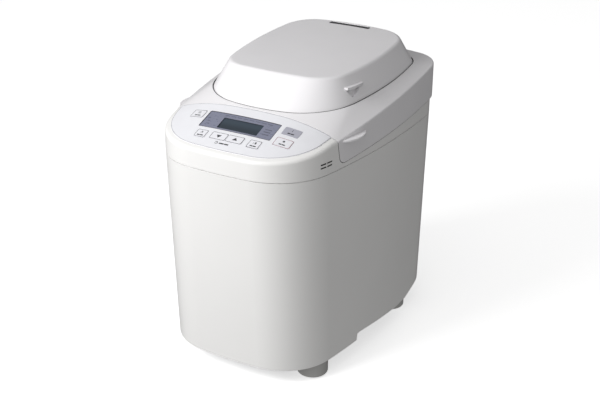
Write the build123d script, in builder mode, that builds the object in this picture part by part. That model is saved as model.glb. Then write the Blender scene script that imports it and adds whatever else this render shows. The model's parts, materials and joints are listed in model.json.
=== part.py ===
"""Bread machine: a tapered plastic case with a sloping control console, a hinged lid and a domed
dispenser lid, around a baking chamber with a belt-driven kneading blade.

Millimetres, +Z up, front towards -Y, origin on the floor at the middle of the machine.
"""

import os
from math import atan, cos, degrees, hypot, sin, sqrt

from build123d import *

os.makedirs("parts", exist_ok=True)

# ---------------------------------------------------------------- driving dimensions
HALF_WIDTH = 125.0  # case half width at its widest
FRONT_Y = -185.6
REAR_Y = 179.5
WIDEST_Y = 51.0  # where the curved sides are furthest apart
CASE_BOTTOM_Z = 22.0
BAND_SEAM_Z = 277.5  # seam between the case and the console band
SEAM_HALF = 0.45  # half height of the groove along the seam between the case and the band
SEAM_DEPTH = 1.2
WALL = 2.5
DOME_WALL = 2.2
GAP = 0.3  # clearance between separate bodies
LINE_GAP = 0.7  # width of the visible seams around the lids
HINGE_PIN_R = 2.5
HINGE_EAR_X = 67.0

# Heights of the sloping planes: height at y = 0, then rise per millimetre towards the rear.
EDGE_PLANE = (325.2, 0.125)
DOME_SEAT_PLANE = (339.2, 0.060)
DOME_CREST_PLANE = (367.7, 0.052)
LID_SEAM_PLANE = (289.3, 0.0625)

# Plan outlines: four long arcs joined by round corners.
CASE_PLAN = dict(half=HALF_WIDTH, front=FRONT_Y, rear=REAR_Y, mid=WIDEST_Y,
                 side_r=990.0, front_r=523.0, rear_r=767.0, front_corner=75.0, rear_corner=55.0)
LID_PLAN = dict(half=125.3, front=FRONT_Y, rear=180.0, mid=WIDEST_Y,
                side_r=990.0, front_r=523.0, rear_r=480.0, front_corner=75.0, rear_corner=40.0)
DOME_PLAN = dict(half=105.5, front=-100.0, rear=152.5, mid=WIDEST_Y,
                 side_r=466.0, front_r=220.0, rear_r=737.0, front_corner=75.0, rear_corner=37.0)
CREST_PLAN = dict(half=89.0, front=-69.0, rear=147.0, mid=WIDEST_Y,
                  side_r=466.0, front_r=222.0, rear_r=815.0, front_corner=47.0, rear_corner=46.0)

LID_FRONT_Y = -104.0
LID_HINGE = (172.0, 296.0)  # y, z of the lid's hinge axis
DOME_HINGE = (160.0, 352.2)  # y, z of the dispenser lid's hinge axis
FLAP_HINGE = (86.0, 291.0)  # y, z of the dispenser flap's hinge axis

PANEL_Y = -140.0
PANEL_SLOPE = 0.359
PANEL_Z = 318.37

CHAMBER_Y = 45.0  # the kneading axis stands at x = 0, y = CHAMBER_Y
CHAMBER_SIZE = (198.0, 160.0)
CHAMBER_FLOOR_Z = 74.0
CHAMBER_TOP_Z = 283.5
CHAMBER_CORNER = 30.0

PAN_TOP = (172.0, 134.0)
PAN_BOTTOM = (164.0, 126.0)
PAN_FLOOR_Z = 100.0
PAN_TOP_Z = 236.0
PAN_CORNER = 22.0
PAN_WALL = 1.6

MOTOR_Y = -105.0
BELT_Z = 38.0
BELT_WIDTH = 8.0
DRIVE_PULLEY_R = 42.0
MOTOR_PULLEY_R = 7.0
SHAFT_R = 4.0
RUNNING_FIT = 0.05

FEET = [(-87.0, -110.0), (87.0, -110.0), (-94.0, 96.0), (94.0, 96.0)]
FOOT_R = 19.5

# Keys on the panel: name, centre across, centre up the slope, width, height.
KEYS = [
    ("menu_key", -65.5, 14.5, 18.0, 14.0),
    ("option_key", -40.0, -19.5, 14.5, 13.0),
    ("timer_down_key", -15.6, -18.6, 21.6, 12.0),
    ("timer_up_key", 6.8, -18.6, 21.6, 12.0),
    ("crust_key", 33.0, -19.3, 15.5, 13.5),
    ("start_key", 63.6, 15.6, 21.5, 13.0),
    ("stop_key", 63.2, -4.8, 21.5, 14.5),
]
WINDOW = (-2.7, 7.7, 99.0, 30.0)
LCD = (-0.6, 5.3, 55.0, 19.0)


# ---------------------------------------------------------------- shared geometry
def height(plane, y):
    """Height of a sloping plane at y."""
    return plane[0] + plane[1] * y


def sloping(plane, lift=0.0):
    """The build plane of a sloping plane, raised by lift."""
    angle = atan(plane[1])
    return Plane(origin=(0, 0, plane[0] + lift), x_dir=(1, 0, 0), z_dir=(0, -sin(angle), cos(angle)))


def inset(plan, amount, front=0.0, rear=0.0):
    """The plan drawn in by amount all round, and further at the front and rear."""
    smaller = dict(plan)
    smaller["half"] -= amount
    smaller["front"] += amount + front
    smaller["rear"] -= amount + rear
    for name in ("side_r", "front_r", "rear_r", "front_corner", "rear_corner"):
        smaller[name] -= amount
    return smaller


def arcs_meet(plan, end):
    """Where the right side arc meets the front or rear arc."""
    side = (plan["half"] - plan["side_r"], plan["mid"])
    sign = -1 if end == "front" else 1
    other = (0.0, plan[end] - sign * plan[end + "_r"])
    dx, dy = other[0] - side[0], other[1] - side[1]
    apart = hypot(dx, dy)
    along = (apart**2 + plan["side_r"] ** 2 - plan[end + "_r"] ** 2) / (2 * apart)
    across = sqrt(plan["side_r"] ** 2 - along**2)
    x = side[0] + (along * dx - sign * across * dy) / apart
    y = side[1] + (along * dy + sign * across * dx) / apart
    return x, y


def plan_face(sketch, plan, slope=0.0):
    """Draws the plan in the open sketch; on a sloping plane it keeps its size seen from above."""
    stretch = 1 / cos(atan(slope))
    fx, fy = arcs_meet(plan, "front")
    rx, ry = arcs_meet(plan, "rear")
    front_left, front_right = (-fx, fy * stretch), (fx, fy * stretch)
    rear_left, rear_right = (-rx, ry * stretch), (rx, ry * stretch)
    mid = plan["mid"] * stretch
    with BuildLine() as outline:
        ThreePointArc(front_left, (0, plan["front"] * stretch), front_right)
        ThreePointArc(front_right, (plan["half"], mid), rear_right)
        ThreePointArc(rear_right, (0, plan["rear"] * stretch), rear_left)
        ThreePointArc(rear_left, (-plan["half"], mid), front_left)
    make_face(outline.edges())
    fillet(sketch.vertices().group_by(Axis.Y)[0], plan["front_corner"])
    fillet(sketch.vertices().group_by(Axis.Y)[-1], plan["rear_corner"])


def prism(plan, low, high):
    """A straight-sided solid on the plan."""
    with BuildPart() as body:
        with BuildSketch(Plane.XY.offset(low)) as outline:
            plan_face(outline, plan)
        extrude(amount=high - low)
    return body.part


def hill(lift=0.0):
    """All the space under the crowned top surface, which rises from the rim to the dome's seat."""
    rim = inset(LID_PLAN, -4.0)
    with BuildPart() as body:
        with BuildSketch(sloping(EDGE_PLANE, lift - 1.7)) as outline:
            plan_face(outline, rim, EDGE_PLANE[1])
        with BuildSketch(sloping(DOME_SEAT_PLANE, lift)) as seat:
            plan_face(seat, DOME_PLAN, DOME_SEAT_PLANE[1])
        loft(ruled=True)
        extrude(outline.sketch, amount=-120, dir=(0, 0, 1))
    return body.part


def lid_zone(grow=0.0):
    """The space of the lid seen from the side: behind its front edge and above its seam."""
    with BuildPart() as body:
        with BuildSketch(Plane.YZ) as side:
            with BuildLine():
                Polyline(
                    (LID_FRONT_Y, 420),
                    (LID_FRONT_Y, 316),
                    (LID_FRONT_Y + 6, height(LID_SEAM_PLANE, LID_FRONT_Y + 6)),
                    (230, height(LID_SEAM_PLANE, 230)),
                    (230, 420),
                    close=True,
                )
            make_face()
            fillet(side.vertices().group_by(Axis.Y)[0], 10.0)
            if grow:
                offset(amount=grow, kind=Kind.INTERSECTION)
        extrude(amount=150, both=True)
    return body.part


def tapered_case(amount):
    """The case's tapered solid, drawn in by amount."""
    top = inset(CASE_PLAN, amount)
    bottom = inset(CASE_PLAN, amount + 3.6, front=11.9, rear=3.4)
    with BuildPart() as body:
        with BuildSketch(Plane.XY.offset(CASE_BOTTOM_Z)) as low:
            plan_face(low, bottom)
        with BuildSketch(Plane.XY.offset(BAND_SEAM_Z)) as high:
            plan_face(high, top)
        loft(ruled=True)
    return body.part


def rounded_box(size, corner, low, high, centre=(0.0, CHAMBER_Y)):
    """An upright rounded box."""
    with BuildPart() as body:
        with BuildSketch(Plane.XY.offset(low)):
            with Locations(centre):
                RectangleRounded(size[0], size[1], corner)
        extrude(amount=high - low)
    return body.part


def write(piece, name):
    """Names a finished piece and writes it as its own STEP file."""
    piece.label = name
    export_step(piece, f"parts/{name}.step")


PANEL = Plane(origin=(0, PANEL_Y, PANEL_Z), x_dir=(1, 0, 0),
              z_dir=(0, -sin(atan(PANEL_SLOPE)), cos(atan(PANEL_SLOPE))))
hill_top = hill()
hill_under = hill(-WALL)
lid_space = lid_zone()
lid_space_grown = lid_zone(LINE_GAP)
case_outer = tapered_case(0.0)
case_inner = tapered_case(WALL)
band_outer = prism(CASE_PLAN, BAND_SEAM_Z, 400)
band_inner = prism(inset(CASE_PLAN, WALL), BAND_SEAM_Z - 1, 400)
seam_groove = prism(inset(CASE_PLAN, -3), BAND_SEAM_Z - SEAM_HALF, BAND_SEAM_Z + SEAM_HALF) - prism(
    inset(CASE_PLAN, SEAM_DEPTH), BAND_SEAM_Z - 1, BAND_SEAM_Z + 1)


# ---------------------------------------------------------------- case and base
def skirt_cut():
    """The side hand-holds and the raised rear edge, cut across the bottom of the case."""
    with BuildPart() as body:
        with BuildSketch(Plane.YZ) as side:
            with BuildLine():
                Polyline((-49, 10), (-46, 31.5), (-38, 31.5), (58, CASE_BOTTOM_Z), (88, CASE_BOTTOM_Z),
                         (200, 46), (200, 10), close=True)
            make_face()
        extrude(amount=150, both=True)
    return body.part


skirt = skirt_cut()
with BuildPart() as lower_case:
    add(case_outer)
    add(seam_groove, mode=Mode.SUBTRACT)
    add(case_inner, mode=Mode.SUBTRACT)
    add(skirt, mode=Mode.SUBTRACT)
    with BuildSketch(Plane.XZ.offset(-REAR_Y - 4)):
        with Locations((-72, 62)):
            Rectangle(26, 18)
    extrude(amount=20, mode=Mode.SUBTRACT)
    with BuildSketch(Plane.XZ.offset(-REAR_Y - 4)):
        with GridLocations(9, 12, 9, 4):
            with Locations((0, 130)):
                SlotOverall(7, 2.4, rotation=90)
    extrude(amount=20, mode=Mode.SUBTRACT)
write(lower_case.part, "lower_case")

with BuildPart() as base_plate:
    with BuildSketch(Plane.YZ):
        with BuildLine():
            Polyline((-180, 32.5), (60, 32.5), (110, 32.5), (200, 52), (200, 55), (110, 35.5), (-180, 35.5),
                     close=True)
        make_face()
    extrude(amount=150, both=True)
    add(tapered_case(WALL + 0.8), mode=Mode.INTERSECT)
    with Locations(*[(x, y, 32.5) for x, y in FEET]):
        Cylinder(12.0, 11.0, align=(Align.CENTER, Align.CENTER, Align.MAX))
    with Locations(*[(x, y, 26) for x, y in FEET]):
        Cylinder(2.8, 30, mode=Mode.SUBTRACT)
    with GridLocations(16, 0, 7, 1):
        with Locations((0, -30, 34)):
            Box(8, 3, 6, mode=Mode.SUBTRACT)
write(base_plate.part, "base_plate")

with BuildPart() as feet:
    with Locations(*[(x, y, 1.5) for x, y in FEET]):
        Cylinder(FOOT_R, 20.0, align=(Align.CENTER, Align.CENTER, Align.MIN))
    fillet(feet.edges().group_by(Axis.Z)[0], 3.0)
    with Locations(*[(x, y, 26) for x, y in FEET]):
        Cylinder(6.0, 30, align=(Align.CENTER, Align.CENTER, Align.MAX), mode=Mode.SUBTRACT)
write(feet.part, "feet")

with BuildPart() as foot_pads:
    with Locations(*[(x, y, 0) for x, y in FEET]):
        Cylinder(15.0, 1.5, align=(Align.CENTER, Align.CENTER, Align.MIN))
        Cylinder(5.8, 6.0, align=(Align.CENTER, Align.CENTER, Align.MIN))
write(foot_pads.part, "foot_pads")

with BuildPart() as foot_screws:
    with Locations(*[(x, y, 16.5) for x, y in FEET]):
        Cylinder(6.0, 5.0, align=(Align.CENTER, Align.CENTER, Align.MIN))
        Cylinder(2.8, 22.0, align=(Align.CENTER, Align.CENTER, Align.MIN))
write(foot_screws.part, "foot_screws")

with BuildPart() as cord_gland:
    with Locations((-72, REAR_Y - 3.5, 62)):
        Box(25.6, 9, 17.6)
    with Locations((-72, REAR_Y + 3.3, 62)):
        Box(34, 5.6, 26)
    fillet(cord_gland.edges().filter_by(Axis.Y), 4.0)
    with Locations((-72, REAR_Y + 2, 62)):
        Cylinder(4.5, 40, rotation=(90, 0, 0), mode=Mode.SUBTRACT)
write(cord_gland.part, "cord_gland")


# ---------------------------------------------------------------- console band and deck
def key_cuts(clearance, depth):
    """The keys' and the window's holes through the panel, as one solid."""
    with BuildPart() as body:
        for _, across, up, width, tall in KEYS:
            with BuildSketch(PANEL.offset(-depth)):
                with Locations((across, up)):
                    RectangleRounded(width + 2 * clearance, tall + 2 * clearance, 2.0)
            extrude(amount=depth + 12)
    return body.part


def window_cut(clearance, depth):
    """The display window's opening."""
    with BuildPart() as body:
        with BuildSketch(PANEL.offset(-depth)):
            with Locations(WINDOW[:2]):
                RectangleRounded(WINDOW[2] + 2 * clearance, WINDOW[3] + 2 * clearance, 1.5)
        extrude(amount=depth + 12)
    return body.part


keys_open = key_cuts(GAP, 12)
window_open = window_cut(0.1, 12)
chamber_hole = rounded_box((CHAMBER_SIZE[0] + 1, CHAMBER_SIZE[1] + 1), CHAMBER_CORNER, 270, 300)

with BuildPart() as console_wall:
    with Locations((0, LID_FRONT_Y - 3.2, 310)):
        Box(300, 2.4, 58)
    add(hill(-1.0), mode=Mode.INTERSECT)
    add(prism(inset(CASE_PLAN, 1.0), 270, 400), mode=Mode.INTERSECT)

with BuildPart() as upper_frame:
    add(band_outer)
    add(seam_groove, mode=Mode.SUBTRACT)
    add(hill_top, mode=Mode.INTERSECT)
    rim = upper_frame.edges().filter_by(lambda e: e.center().Z > 300 and e.center().Y < -120)
    fillet(rim, 5.0)
    add(band_inner & hill_under, mode=Mode.SUBTRACT)
    add(lid_space_grown, mode=Mode.SUBTRACT)
    add(console_wall.part)
    add(prism(inset(CASE_PLAN, 1.0), 281, 283.5))
    add(chamber_hole, mode=Mode.SUBTRACT)
    add(keys_open, mode=Mode.SUBTRACT)
    add(window_open, mode=Mode.SUBTRACT)
    with Locations((0, LID_HINGE[0] + 4, LID_HINGE[1])):
        Box(184, 23, 15.5, mode=Mode.SUBTRACT)
    for x in (-HINGE_EAR_X, HINGE_EAR_X):
        with Locations((x, LID_HINGE[0] - 1, 283.5)):
            Box(9, 10.4, 12.5, align=(Align.CENTER, Align.CENTER, Align.MIN))
        with Locations((x, *LID_HINGE)):
            Cylinder(5.2, 9, rotation=(0, 90, 0))
    with Locations((0, *LID_HINGE)):
        Cylinder(HINGE_PIN_R, 190, rotation=(0, 90, 0), mode=Mode.SUBTRACT)
    with Locations(*[(112, y, z) for y in (-128.4, -118.0) for z in (288.2, 292.4)]):
        Box(30, 9.2, 1.9, mode=Mode.SUBTRACT)
write(upper_frame.part, "upper_frame")

with BuildPart() as control_panel_sheet:
    add(hill(0.45))
    add(hill_top, mode=Mode.SUBTRACT)
    add(prism(inset(CASE_PLAN, 7.5), 290, 400), mode=Mode.INTERSECT)
    with Locations((0, LID_FRONT_Y - 1.1, 320)):
        Box(300, 200, 200, align=(Align.CENTER, Align.MAX, Align.CENTER), mode=Mode.INTERSECT)
    add(keys_open, mode=Mode.SUBTRACT)
    add(window_open, mode=Mode.SUBTRACT)
write(control_panel_sheet.part, "control_panel_sheet")

with BuildPart() as lcd_window:
    add(hill(0.55))
    add(hill(-1.4), mode=Mode.SUBTRACT)
    add(window_cut(0.0, 12), mode=Mode.INTERSECT)
write(lcd_window.part, "lcd_window")

key_top = hill(0.75)
key_under = hill(-1.6)
for name, across, up, width, tall in KEYS:
    with BuildPart() as key:
        add(key_top)
        add(key_under, mode=Mode.SUBTRACT)
        with BuildSketch(PANEL.offset(-12)):
            with Locations((across, up)):
                RectangleRounded(width, tall, 1.7)
        extrude(amount=24, mode=Mode.INTERSECT)
        with BuildSketch(PANEL.offset(-6.5)):
            with Locations((across, up)):
                Rectangle(7, 4)
        extrude(amount=5.2)
        add(key_top, mode=Mode.INTERSECT)
    write(key.part, name)

with BuildPart() as lcd_module:
    with BuildSketch(PANEL.offset(-10)):
        with Locations(LCD[:2]):
            Rectangle(LCD[2] + 10, LCD[3] + 6)
    extrude(amount=6.5)
write(lcd_module.part, "lcd_module")

with BuildPart() as control_board:
    with BuildSketch(PANEL.offset(-13.0)):
        with Locations((0, -2)):
            Rectangle(158, 54)
    extrude(amount=1.6)
    for _, across, up, width, tall in KEYS:
        with BuildSketch(PANEL.offset(-11.4)):
            with Locations((across, up)):
                Rectangle(6, 6)
        extrude(amount=3.9)
write(control_board.part, "control_board")


# ---------------------------------------------------------------- baking chamber
with BuildPart() as baking_chamber:
    add(rounded_box(CHAMBER_SIZE, CHAMBER_CORNER, CHAMBER_FLOOR_Z, CHAMBER_TOP_Z))
    add(rounded_box((CHAMBER_SIZE[0] + 12, CHAMBER_SIZE[1] + 12), CHAMBER_CORNER + 6, CHAMBER_TOP_Z, 284.5))
    add(rounded_box((CHAMBER_SIZE[0] - 2, CHAMBER_SIZE[1] - 2), CHAMBER_CORNER - 1, CHAMBER_FLOOR_Z + 1, 290),
        mode=Mode.SUBTRACT)
    with Locations((0, CHAMBER_Y, CHAMBER_FLOOR_Z)):
        Cylinder(12, 10, mode=Mode.SUBTRACT)
write(baking_chamber.part, "baking_chamber")

with BuildPart() as chamber_legs:
    with Locations(*[(x, CHAMBER_Y + y, 35.5) for x in (-72, 72) for y in (-56, 56)]):
        Box(12, 12, CHAMBER_FLOOR_Z - 35.5, align=(Align.CENTER, Align.CENTER, Align.MIN))
write(chamber_legs.part, "chamber_legs")

HEATER_SIZE = (186.0, 148.0)
HEATER_Z = 93.0
HEATER_R = 3.2
with BuildPart() as heater:
    with BuildSketch(Plane.XY.offset(HEATER_Z)):
        with Locations((0, CHAMBER_Y)):
            RectangleRounded(HEATER_SIZE[0], HEATER_SIZE[1], 26)
            RectangleRounded(HEATER_SIZE[0] - 4 * HEATER_R, HEATER_SIZE[1] - 4 * HEATER_R, 20,
                             mode=Mode.SUBTRACT)
    extrude(amount=HEATER_R, both=True)
    fillet(heater.edges().group_by(Axis.Z)[0] + heater.edges().group_by(Axis.Z)[-1], HEATER_R * 0.9)
write(heater.part, "heater")

with BuildPart() as heater_clips:
    clip_x = HEATER_SIZE[0] / 2 - HEATER_R
    with Locations(*[(x, CHAMBER_Y + y, CHAMBER_FLOOR_Z + 1) for x in (-clip_x, clip_x) for y in (-35, 35)]):
        Box(5, 8, HEATER_Z - HEATER_R - CHAMBER_FLOOR_Z - 1, align=(Align.CENTER, Align.CENTER, Align.MIN))
write(heater_clips.part, "heater_clips")

with BuildPart() as temperature_sensor:
    with Locations((60, CHAMBER_Y - CHAMBER_SIZE[1] / 2 + 1, 130)):
        Cylinder(4, 5, rotation=(90, 0, 0), align=(Align.CENTER, Align.CENTER, Align.MAX))
    with Locations((60, CHAMBER_Y - CHAMBER_SIZE[1] / 2 - 0.2, 130)):
        Box(24, 2, 14, align=(Align.CENTER, Align.MAX, Align.CENTER))
write(temperature_sensor.part, "temperature_sensor")

with BuildPart() as pan_socket:
    with Locations((0, CHAMBER_Y, CHAMBER_FLOOR_Z + 1)):
        Cylinder(46, 2, align=(Align.CENTER, Align.CENTER, Align.MIN))
        Cylinder(40, 14, align=(Align.CENTER, Align.CENTER, Align.MIN))
        Cylinder(36.5, 20, align=(Align.CENTER, Align.CENTER, Align.MIN), mode=Mode.SUBTRACT)
    with Locations((0, CHAMBER_Y, 0)):
        with PolarLocations(35.9, 4, start_angle=45):
            with Locations((0, 0, 85)):
                Box(3, 5, 4, align=(Align.CENTER, Align.CENTER, Align.MIN))
write(pan_socket.part, "pan_socket")


# ---------------------------------------------------------------- bread pan and blade
def pan_solid(amount, low, high):
    """The pan's drafted solid, drawn in by amount."""
    with BuildPart() as body:
        with BuildSketch(Plane.XY.offset(low)):
            with Locations((0, CHAMBER_Y)):
                RectangleRounded(PAN_BOTTOM[0] - 2 * amount, PAN_BOTTOM[1] - 2 * amount, PAN_CORNER - amount)
        with BuildSketch(Plane.XY.offset(high)):
            with Locations((0, CHAMBER_Y)):
                RectangleRounded(PAN_TOP[0] - 2 * amount, PAN_TOP[1] - 2 * amount, PAN_CORNER - amount)
        loft(ruled=True)
    return body.part


with BuildPart() as bread_pan:
    add(pan_solid(0, PAN_FLOOR_Z, PAN_TOP_Z))
    add(rounded_box((PAN_TOP[0] + 4, PAN_TOP[1] + 4), PAN_CORNER + 2, PAN_TOP_Z - 2.5, PAN_TOP_Z))
    fillet(bread_pan.edges().group_by(Axis.Z)[0], 5.0)
    add(pan_solid(PAN_WALL, PAN_FLOOR_Z + 2, PAN_TOP_Z + 1), mode=Mode.SUBTRACT)
    with Locations((0, CHAMBER_Y, PAN_FLOOR_Z)):
        Cylinder(9, 10, mode=Mode.SUBTRACT)
    with Locations((-PAN_TOP[0] / 2 - 0.6, CHAMBER_Y, 228), (PAN_TOP[0] / 2 + 0.6, CHAMBER_Y, 228)):
        Cylinder(2.4, 3.0, rotation=(0, 90, 0))
write(bread_pan.part, "bread_pan")

with BuildPart() as pan_base:
    with Locations((0, CHAMBER_Y, 78)):
        Cylinder(34, PAN_FLOOR_Z - 78, align=(Align.CENTER, Align.CENTER, Align.MIN))
        Cylinder(31, PAN_FLOOR_Z - 82, align=(Align.CENTER, Align.CENTER, Align.MIN), mode=Mode.SUBTRACT)
        Cylinder(9, 30, align=(Align.CENTER, Align.CENTER, Align.MIN), mode=Mode.SUBTRACT)
    with Locations((0, CHAMBER_Y, 0)):
        with PolarLocations(34.2, 4, start_angle=45):
            with Locations((0, 0, 79.5)):
                Box(3, 4.5, 4.8, align=(Align.CENTER, Align.CENTER, Align.MIN))
write(pan_base.part, "pan_base")

with BuildPart() as pan_bush:
    with Locations((0, CHAMBER_Y, PAN_FLOOR_Z - 4)):
        Cylinder(9, 8, align=(Align.CENTER, Align.CENTER, Align.MIN))
        Cylinder(SHAFT_R + RUNNING_FIT, 8, align=(Align.CENTER, Align.CENTER, Align.MIN), mode=Mode.SUBTRACT)
write(pan_bush.part, "pan_bush")

HANDLE_REACH = 53.0
HANDLE_WIDTH = 187.0
HANDLE_WIRE = 3.3
HANDLE_BEND = 24.0
HANDLE_REST = 18.0  # degrees above level
with BuildPart() as pan_handle:
    tilt = Plane(origin=(0, CHAMBER_Y, 228), x_dir=(1, 0, 0), z_dir=(0, 0, 1)).rotated((-HANDLE_REST, 0, 0))
    with BuildSketch(tilt.offset(-1.6)):
        RectangleRounded(HANDLE_WIDTH, 2 * HANDLE_REACH, HANDLE_BEND)
        RectangleRounded(HANDLE_WIDTH - 2 * HANDLE_WIRE, 2 * (HANDLE_REACH - HANDLE_WIRE),
                         HANDLE_BEND - HANDLE_WIRE, mode=Mode.SUBTRACT)
        with Locations((0, HANDLE_REACH / 2 + 1)):
            Rectangle(200, HANDLE_REACH + 2, mode=Mode.SUBTRACT)
        with Locations((-91.85, -0.5), (91.85, -0.5)):
            Circle(1.65)
    extrude(amount=3.2)
    with Locations((-91.85, CHAMBER_Y, 228), (91.85, CHAMBER_Y, 228)):
        Cylinder(5.2, 3.2, rotation=(0, 90, 0))
    with Locations((0, CHAMBER_Y, 228)):
        Cylinder(2.4 + 0.1, 182.9, rotation=(0, 90, 0), mode=Mode.SUBTRACT)
write(pan_handle.part, "pan_handle")

with BuildPart() as pan_shaft:
    with Locations((0, CHAMBER_Y, 85.5)):
        Cylinder(SHAFT_R, 43.5, align=(Align.CENTER, Align.CENTER, Align.MIN))
write(pan_shaft.part, "pan_shaft")

with BuildPart() as pan_dog:
    with Locations((0, CHAMBER_Y, 82.5)):
        Cylinder(6.5, 12, align=(Align.CENTER, Align.CENTER, Align.MIN))
        Box(5, 24, 6, align=(Align.CENTER, Align.CENTER, Align.MIN))
    with Locations((0, CHAMBER_Y, 85.5)):
        Cylinder(SHAFT_R, 12, align=(Align.CENTER, Align.CENTER, Align.MIN), mode=Mode.SUBTRACT)
write(pan_dog.part, "pan_dog")

BLADE_REACH = 52.0
with BuildPart() as kneading_blade:
    with Locations((0, CHAMBER_Y, 104.6)):
        Cylinder(10, 27.4, align=(Align.CENTER, Align.CENTER, Align.MIN))
    fillet(kneading_blade.edges().group_by(Axis.Z)[-1], 4.0)
    with BuildSketch(Plane.XY.offset(104.6)):
        with BuildLine():
            outer = ThreePointArc((-4, CHAMBER_Y - 8), (24, CHAMBER_Y - 12), (BLADE_REACH, CHAMBER_Y + 4))
            Line(outer @ 1, (BLADE_REACH - 2, CHAMBER_Y + 9))
            ThreePointArc((BLADE_REACH - 2, CHAMBER_Y + 9), (24, CHAMBER_Y - 5), (-2, CHAMBER_Y + 4))
            Line((-2, CHAMBER_Y + 4), (-4, CHAMBER_Y - 8))
        make_face()
    extrude(amount=20, taper=3)
    with Locations((0, CHAMBER_Y, 100)):
        Cylinder(SHAFT_R, 29, align=(Align.CENTER, Align.CENTER, Align.MIN), mode=Mode.SUBTRACT)
write(kneading_blade.part, "kneading_blade")


# ---------------------------------------------------------------- drive train
with BuildPart() as drive_bearing:
    with Locations((0, CHAMBER_Y, 50)):
        Cylinder(11.5, 27, align=(Align.CENTER, Align.CENTER, Align.MIN))
    with Locations((0, CHAMBER_Y, CHAMBER_FLOOR_Z - 3)):
        Cylinder(24, 3, align=(Align.CENTER, Align.CENTER, Align.MIN))
    with Locations((0, CHAMBER_Y, 50)):
        Cylinder(SHAFT_R + RUNNING_FIT, 30, align=(Align.CENTER, Align.CENTER, Align.MIN), mode=Mode.SUBTRACT)
write(drive_bearing.part, "drive_bearing")

with BuildPart() as drive_shaft:
    with Locations((0, CHAMBER_Y, 36.5)):
        Cylinder(SHAFT_R, 44.0, align=(Align.CENTER, Align.CENTER, Align.MIN))
write(drive_shaft.part, "drive_shaft")

with BuildPart() as drive_pulley:
    with Locations((0, CHAMBER_Y, BELT_Z - 1)):
        Cylinder(DRIVE_PULLEY_R, BELT_WIDTH + 2, align=(Align.CENTER, Align.CENTER, Align.MIN))
        Cylinder(9, BELT_WIDTH + 3.5, align=(Align.CENTER, Align.CENTER, Align.MIN))
        with PolarLocations(25, 6):
            Cylinder(8, 20, mode=Mode.SUBTRACT)
    with Locations((0, CHAMBER_Y, 30)):
        Cylinder(SHAFT_R, 40, align=(Align.CENTER, Align.CENTER, Align.MIN), mode=Mode.SUBTRACT)
write(drive_pulley.part, "drive_pulley")

with BuildPart() as drive_dog:
    with Locations((0, CHAMBER_Y, 77.3)):
        Cylinder(14, 4.7, align=(Align.CENTER, Align.CENTER, Align.MIN))
    with Locations((-10.5, CHAMBER_Y, 82), (10.5, CHAMBER_Y, 82)):
        Box(6, 5, 6, align=(Align.CENTER, Align.CENTER, Align.MIN))
    with Locations((0, CHAMBER_Y, 70)):
        Cylinder(SHAFT_R, 10.5, align=(Align.CENTER, Align.CENTER, Align.MIN), mode=Mode.SUBTRACT)
write(drive_dog.part, "drive_dog")


def belt_loop(extra):
    """The belt's loop round both pulleys, this far outside their rims."""
    big, small = DRIVE_PULLEY_R + extra, MOTOR_PULLEY_R + extra
    apart = CHAMBER_Y - MOTOR_Y
    side = (big - small) / apart
    across = sqrt(1 - side**2)
    with BuildPart() as body:
        with BuildSketch(Plane.XY.offset(BELT_Z)):
            with BuildLine():
                ThreePointArc((-big * across, CHAMBER_Y - big * side), (0, CHAMBER_Y + big),
                              (big * across, CHAMBER_Y - big * side))
                Line((big * across, CHAMBER_Y - big * side), (small * across, MOTOR_Y - small * side))
                ThreePointArc((small * across, MOTOR_Y - small * side), (0, MOTOR_Y - small),
                              (-small * across, MOTOR_Y - small * side))
                Line((-small * across, MOTOR_Y - small * side), (-big * across, CHAMBER_Y - big * side))
            make_face()
        extrude(amount=BELT_WIDTH)
    return body.part


with BuildPart() as drive_belt:
    add(belt_loop(GAP + 1.8))
    add(belt_loop(GAP), mode=Mode.SUBTRACT)
write(drive_belt.part, "drive_belt")

with BuildPart() as motor_bracket:
    with Locations((0, MOTOR_Y, 56)):
        Box(96, 84, 3, align=(Align.CENTER, Align.CENTER, Align.MIN))
    with Locations(*[(x, MOTOR_Y + y, 35.5) for x in (-42, 42) for y in (-36, 36)]):
        Cylinder(5, 20.5, align=(Align.CENTER, Align.CENTER, Align.MIN))
    with Locations((0, MOTOR_Y, 56)):
        Cylinder(10, 10, mode=Mode.SUBTRACT)
write(motor_bracket.part, "motor_bracket")

with BuildPart() as motor:
    with Locations((0, MOTOR_Y, 59)):
        Cylinder(36, 66, align=(Align.CENTER, Align.CENTER, Align.MIN))
    fillet(motor.edges().group_by(Axis.Z)[-1], 4.0)
    with Locations((0, MOTOR_Y, 59)):
        Cylinder(SHAFT_R - 0.5 + RUNNING_FIT, 58, align=(Align.CENTER, Align.CENTER, Align.MIN),
                 mode=Mode.SUBTRACT)
write(motor.part, "motor")

with BuildPart() as motor_shaft:
    with Locations((0, MOTOR_Y, 36.5)):
        Cylinder(SHAFT_R - 0.5, 76, align=(Align.CENTER, Align.CENTER, Align.MIN))
write(motor_shaft.part, "motor_shaft")

with BuildPart() as motor_pulley:
    with Locations((0, MOTOR_Y, BELT_Z - 1)):
        Cylinder(MOTOR_PULLEY_R, BELT_WIDTH + 4, align=(Align.CENTER, Align.CENTER, Align.MIN))
        Cylinder(SHAFT_R - 0.5, 30, align=(Align.CENTER, Align.CENTER, Align.MIN), mode=Mode.SUBTRACT)
write(motor_pulley.part, "motor_pulley")

with BuildPart() as capacitor:
    with Locations((-70, MOTOR_Y + 5, 35.5)):
        Cylinder(15, 50, align=(Align.CENTER, Align.CENTER, Align.MIN))
    fillet(capacitor.edges().group_by(Axis.Z)[-1], 2.0)
write(capacitor.part, "capacitor")

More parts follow.
